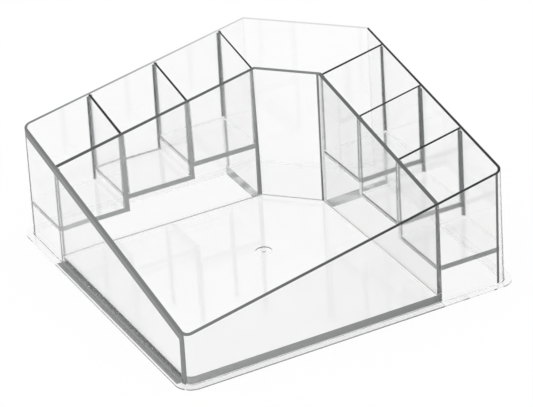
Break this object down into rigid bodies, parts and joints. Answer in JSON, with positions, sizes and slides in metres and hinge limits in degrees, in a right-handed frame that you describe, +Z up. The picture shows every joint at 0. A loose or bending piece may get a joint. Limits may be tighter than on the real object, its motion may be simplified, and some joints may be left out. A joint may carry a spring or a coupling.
{
  "type": "makeup organizer",
  "caption": "Clear acrylic makeup organizer with a low square tray, stepped towers of open cells along two sides and a tall hexagonal bin in the cut-off back corner, all under one sloped rim.",
  "frame": {"origin": "on the table, at the middle of the square footprint", "axes": "+Z up; X and Y along the two straight sides that meet at the low near corner, which is at -X -Y; the cut-off back corner is at +X +Y"},
  "size_m": [0.2182, 0.2182, 0.1028],
  "materials": {
    "clear_acrylic": "clear, polished"
  },
  "bodies": {
    "root": {"floor_panel": "clear_acrylic", "tray_wall": "clear_acrylic", "left_outer_wall": "clear_acrylic", "right_outer_wall": "clear_acrylic", "corner_panel": "clear_acrylic", "left_inner_wall": "clear_acrylic", "right_inner_wall": "clear_acrylic", "bin_front": "clear_acrylic", "left_divider_1": "clear_acrylic", "left_divider_2": "clear_acrylic", "left_bin_side": "clear_acrylic", "left_shelf_1": "clear_acrylic", "left_shelf_2": "clear_acrylic", "left_shelf_3": "clear_acrylic", "right_divider_1": "clear_acrylic", "right_divider_2": "clear_acrylic", "right_bin_side": "clear_acrylic", "right_shelf_1": "clear_acrylic", "right_shelf_2": "clear_acrylic", "right_shelf_3": "clear_acrylic"}
  },
  "joints": []
}
